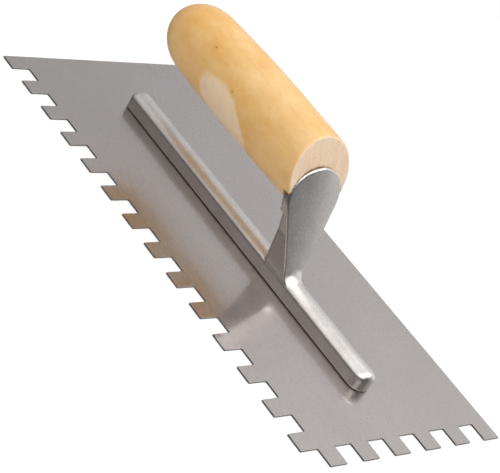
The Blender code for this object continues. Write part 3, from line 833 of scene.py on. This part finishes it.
def make_mounting(material):
    """Bar, post and tang fused by a voxel remesh, whose smoothing leaves the casting's fillets.

    The rivets fill their holes in the bar, so the bar is left whole here.
    """
    mounting = new_object("mounting_casting", joined("mounting_casting", (
        bar_mesh(), post_mesh(), tang_mesh())))
    fuse = mounting.modifiers.new("fuse", "REMESH")
    fuse.mode = "VOXEL"
    fuse.voxel_size = CAST_VOXEL
    soften = mounting.modifiers.new("soften", "SMOOTH")
    soften.factor = 0.5
    soften.iterations = CAST_SMOOTHING
    thin = mounting.modifiers.new("thin", "DECIMATE")
    thin.ratio = CAST_THINNING
    apply_modifiers(mounting)
    mounting.data.materials.clear()
    mounting.data.materials.append(material)
    mounting.data.shade_smooth()
    return stands_for(mounting, "mounting")


# ---------------------------------------------------------------- handle

def smooth_through(points, steps):
    """A Catmull-Rom curve through the points, with that many steps between each pair."""
    curve = []
    for i in range(len(points) - 1):
        before = Vector(points[max(i - 1, 0)])
        start = Vector(points[i])
        end = Vector(points[i + 1])
        after = Vector(points[min(i + 2, len(points) - 1)])
        for k in range(steps):
            t = k / steps
            curve.append(0.5 * (2 * start + (end - before) * t
                                + (2 * before - 5 * start + 4 * end - after) * t ** 2
                                + (3 * start - before - 3 * end + after) * t ** 3))
    return curve


def barrel_radius(x, barrel):
    """The barrel's radius at x, read off its smooth curve."""
    for ahead, behind in zip(barrel, barrel[1:]):
        if behind.x <= x <= ahead.x:
            share = (ahead.x - x) / (ahead.x - behind.x)
            return ahead.y + (behind.y - ahead.y) * share
    return barrel[0].y


def sawn_row(barrel, setback, inset):
    """A ring along the sawn front's edge, that far behind the sawn plane and in from the barrel."""
    row = []
    for i in range(ROUND_STEPS):
        turn = 2 * math.pi * i / ROUND_STEPS
        radius = barrel_radius(SAW_CUT_X, barrel)
        for _ in range(3):          # the plane leans, so x and the radius settle together
            x = SAW_CUT_X - SAW_CUT_LEAN * radius * math.cos(turn) - setback
            radius = barrel_radius(x, barrel) - inset
        row.append(Vector((x, radius * math.sin(turn), AXIS_Z + radius * math.cos(turn))))
    return row


def sawn_face_row(radius):
    """A ring on the sawn plane."""
    row = ring_along_x(0.0, radius, ROUND_STEPS)
    for point in row:
        point.x = SAW_CUT_X - SAW_CUT_LEAN * (point.z - AXIS_Z)
    return row


def rounded_edge_rows(barrel):
    """Rings over the rounded edge of the sawn front."""
    rows = []
    for i in range(SAW_EDGE_STEPS):
        turn = math.pi / 2 * (1 - i / SAW_EDGE_STEPS)
        rows.append(sawn_row(barrel, SAW_EDGE_RADIUS * (1 - math.sin(turn)),
                             SAW_EDGE_RADIUS * (1 - math.cos(turn))))
    return rows


def leaning_row(barrel, share):
    """A ring that leans as the sawn front does at share 0 and stands upright by share 1."""
    setback = SAW_EDGE_RADIUS + share * (SAW_CUT_X - SAW_EDGE_RADIUS - LEAN_END_X)
    upright = SAW_CUT_X - setback
    row = []
    for i, point in enumerate(sawn_row(barrel, setback, 0.0)):
        turn = 2 * math.pi * i / ROUND_STEPS
        x = upright + (point.x - upright) * (1 - share)
        radius = barrel_radius(x, barrel)
        row.append(Vector((x, radius * math.sin(turn), AXIS_Z + radius * math.cos(turn))))
    return row


def dome_profile():
    """(x, radius) over the domed back end, from the barrel to the counterbore's mouth."""
    dome_length = HANDLE_DOME_START - HANDLE_BACK_X
    mouth_turn = math.acos((COUNTERBORE_RADIUS + COUNTERBORE_CHAMFER) / HANDLE_DOME_RADIUS)
    turns = [mouth_turn * i / DOME_STEPS for i in range(DOME_STEPS + 1)]
    return [(HANDLE_DOME_START - dome_length * math.sin(turn), HANDLE_DOME_RADIUS * math.cos(turn))
            for turn in turns]


def hollow_profile(mouth_x):
    """(x, radius) down the counterbore, along the screw's bore and up the tang's socket."""
    bore = SCREW_RADIUS + 2 * GAP
    tang_end = BOSS_BACK_X - TANG_LENGTH - GAP
    return [(mouth_x + COUNTERBORE_CHAMFER, COUNTERBORE_RADIUS),
            (COUNTERBORE_FLOOR_X, COUNTERBORE_RADIUS),
            (COUNTERBORE_FLOOR_X, bore),
            (tang_end, bore),
            (tang_end, TANG_TIP_RADIUS - TANG_CHAMFER + GAP),
            (tang_end + TANG_CHAMFER, TANG_TIP_RADIUS + GAP),
            (BOSS_BACK_X - GAP, TANG_BASE_RADIUS + GAP)]


def sawn_face_rows(barrel):
    """Rings over the sawn face, from the tang's socket out to its rounded edge."""
    face_steps = 5
    hole = TANG_BASE_RADIUS + GAP
    face_edge = barrel_radius(SAW_CUT_X, barrel) - 1.2 * SAW_EDGE_RADIUS
    return [sawn_face_row(hole + (face_edge - hole) * i / face_steps)
            for i in range(face_steps + 1)]


def handle_rows():
    """Rings over the outside, from the sawn face's edge back, and then over the bare wood."""
    barrel = [Vector((x, radius)) for x, radius in smooth_through(HANDLE_BARREL, BARREL_STEPS)]
    outside = rounded_edge_rows(barrel)
    outside += [leaning_row(barrel, i / LEAN_STEPS) for i in range(LEAN_STEPS)]
    outside += [ring_along_x(p.x, p.y, ROUND_STEPS) for p in barrel if p.x < LEAN_END_X]
    dome = dome_profile()
    outside += [ring_along_x(x, radius, ROUND_STEPS) for x, radius in dome]
    mouth_x = dome[-1][0]
    bare = [ring_along_x(x, radius, ROUND_STEPS) for x, radius in hollow_profile(mouth_x)]
    bare += sawn_face_rows(barrel)
    return outside, bare


def make_handle(lacquered, bare_wood):
    """The turned grip, lacquered outside and bare at the saw cut, with a pocket for the boss."""
    outside, bare = handle_rows()
    mesh = skin("handle_wood", outside + bare, closed=True)
    handle = new_object("handle_wood", mesh, lacquered, bare_wood)
    first_lacquered = SAW_EDGE_STEPS // 2 * ROUND_STEPS
    end_lacquered = (len(outside) - 1) * ROUND_STEPS
    for face in mesh.polygons:
        face.material_index = 0 if first_lacquered <= face.index < end_lacquered else 1
    pocket_radius = HEAD_RADIUS + GAP
    outline = []
    for i in range(ROUND_STEPS):
        turn = 2 * math.pi * i / ROUND_STEPS
        outline.append((pocket_radius * math.sin(turn),
                        HEAD_Z + BOSS_FLATTENING * pocket_radius * math.cos(turn)))
    pocket = skin("head_pocket", [[Vector((x, y, z)) for y, z in outline]
                                  for x in (BOSS_BACK_X - GAP, BOSS_BACK_X + HEAD_RADIUS)])
    for face in pocket.polygons:
        face.material_index = 1
    subtract(handle, pocket)
    shade_smooth(handle, 35)
    return stands_for(handle, "handle")


# ---------------------------------------------------------------- screw and washer

def make_washer(material):
    """A flat ring on the counterbore's floor, its outer edges broken."""
    edge = 0.15 * MM
    back = COUNTERBORE_FLOOR_X - GAP - WASHER_THICKNESS
    front = back + WASHER_THICKNESS
    profile = [(back, WASHER_HOLE_RADIUS),
               (back, WASHER_RADIUS - edge),
               (back + edge, WASHER_RADIUS),
               (front - edge, WASHER_RADIUS),
               (front, WASHER_RADIUS - edge),
               (front, WASHER_HOLE_RADIUS)]
    washer = new_object("washer_flat", turned_along_x("washer_flat", profile, SMALL_STEPS, True),
                        material)
    shade_smooth(washer, 30)
    return stands_for(washer, "handle_washer")


def make_screw(material):
    """A slotted pan head on a shank that runs into the tang."""
    head_front = COUNTERBORE_FLOOR_X - 2 * GAP - WASHER_THICKNESS
    head_back = head_front - SCREW_HEAD_HEIGHT
    tip = BOSS_BACK_X - TANG_LENGTH + SCREW_GRIP
    chamfer = 0.6 * MM
    rim_steps = 10
    rim = [math.pi / 2 * i / rim_steps for i in range(rim_steps + 1)]
    profile = [(head_back, 0.5 * MM)]
    profile += [(head_back + SCREW_DOME * (1 - math.cos(a)),
                 SCREW_HEAD_RADIUS - SCREW_DOME * (1 - math.sin(a))) for a in rim]
    profile += [(head_front, SCREW_HEAD_RADIUS),
                (head_front, SCREW_RADIUS),
                (tip - chamfer, SCREW_RADIUS),
                (tip, SCREW_RADIUS - chamfer)]
    screw = new_object("screw_slotted", turned_along_x("screw_slotted", profile, SMALL_STEPS),
                       material)
    slot = bmesh.new()
    bmesh.ops.create_cube(slot, size=1.0)
    bmesh.ops.scale(slot, verts=slot.verts, vec=(
        2 * SCREW_SLOT_DEPTH, SCREW_SLOT_WIDTH, 3 * SCREW_HEAD_RADIUS))
    bmesh.ops.translate(slot, verts=slot.verts, vec=(head_back, 0.0, AXIS_Z))
    slot_mesh = bpy.data.meshes.new("screw_slot")
    slot.to_mesh(slot_mesh)
    slot.free()
    subtract(screw, slot_mesh)
    shade_smooth(screw, 35)
    return stands_for(screw, "handle_screw")


# ---------------------------------------------------------------- stage

def direction(azimuth, elevation):
    """A unit vector: azimuth 0 points along -Y and 90 along +X, as the camera stands."""
    a, e = math.radians(azimuth), math.radians(elevation)
    return Vector((math.sin(a) * math.cos(e), -math.cos(a) * math.cos(e), math.sin(e)))


def make_camera():
    """The picture's camera, turned about its own axis."""
    camera = bpy.data.objects.new("camera", bpy.data.cameras.new("camera"))
    bpy.context.scene.collection.objects.link(camera)
    back = direction(CAMERA_AZIMUTH, CAMERA_ELEVATION)
    level = (-back).to_track_quat("-Z", "Y").to_matrix()
    roll = Matrix.Rotation(math.radians(CAMERA_ROLL), 3, "Z")
    camera.matrix_world = (level @ roll).to_4x4()
    camera.location = AIM + back * CAMERA_DISTANCE
    camera.data.lens = LENS
    camera.data.sensor_width = 36.0
    bpy.context.scene.camera = camera


def make_floor(material):
    """A wide white disc just under the blade, for the trowel's shadow."""
    shape = bmesh.new()
    bmesh.ops.create_circle(shape, cap_ends=True, segments=FLOOR_SIDES, radius=FLOOR_RADIUS)
    mesh = bpy.data.meshes.new("floor")
    shape.to_mesh(mesh)
    shape.free()
    floor = new_object("floor", mesh, material)
    floor.location.z = BLADE_LOW.z - FLOOR_DROP
    floor.visible_glossy = False    # the metal mirrors the dim room, not a white sheet


def make_area_light(name, towards, size, power, tint):
    """A square soft light, aimed at the point that the camera aims at."""
    towards = Vector(towards).normalized()
    light = bpy.data.lights.new(name, "AREA")
    light.shape = "SQUARE"
    light.size = size
    light.energy = power
    light.color = tint
    lamp = bpy.data.objects.new(name, light)
    bpy.context.scene.collection.objects.link(lamp)
    lamp.location = AIM + towards * LAMP_DISTANCE
    lamp.rotation_mode = "QUATERNION"
    lamp.rotation_quaternion = (-towards).to_track_quat("-Z", "Y")


def make_room():
    """A room that glows softly on some sides and is dark on the others."""
    world = bpy.data.worlds.new("studio")
    bpy.context.scene.world = world
    world.use_nodes = True
    tree = world.node_tree
    outward = node(tree, "TexCoord").outputs["Generated"]
    light = None
    for towards, start, strength in GLOWS:
        nearness = node(tree, "VectorMath", {0: outward, 1: Vector(towards).normalized()},
                        operation="DOT_PRODUCT").outputs["Value"]
        glow = node(tree, "MapRange", {"Value": nearness, "From Min": start,
                                       "To Max": strength}).outputs["Result"]
        light = node(tree, "Math", {0: light, 1: glow}).outputs["Value"] if light else glow
    tree.links.new(light, tree.nodes["Background"].inputs["Color"])


def main():
    make_camera()
    bpy.context.scene.view_settings.view_transform = "Standard"
    make_blade(make_blade_steel())
    make_rivets(make_turned_metal("rivet_aluminium_turned", RIVET_TINT, RIVET_ROUGHNESS))
    make_mounting(make_cast_aluminium())
    make_handle(make_lacquered_wood(), make_bare_wood())
    zinc = make_turned_metal("zinc_plated_steel", ZINC_TINT, ZINC_ROUGHNESS)
    make_washer(zinc)
    make_screw(zinc)
    make_floor(make_floor_paint())
    make_room()
    for lamp in LAMPS:
        make_area_light(*lamp)


main()
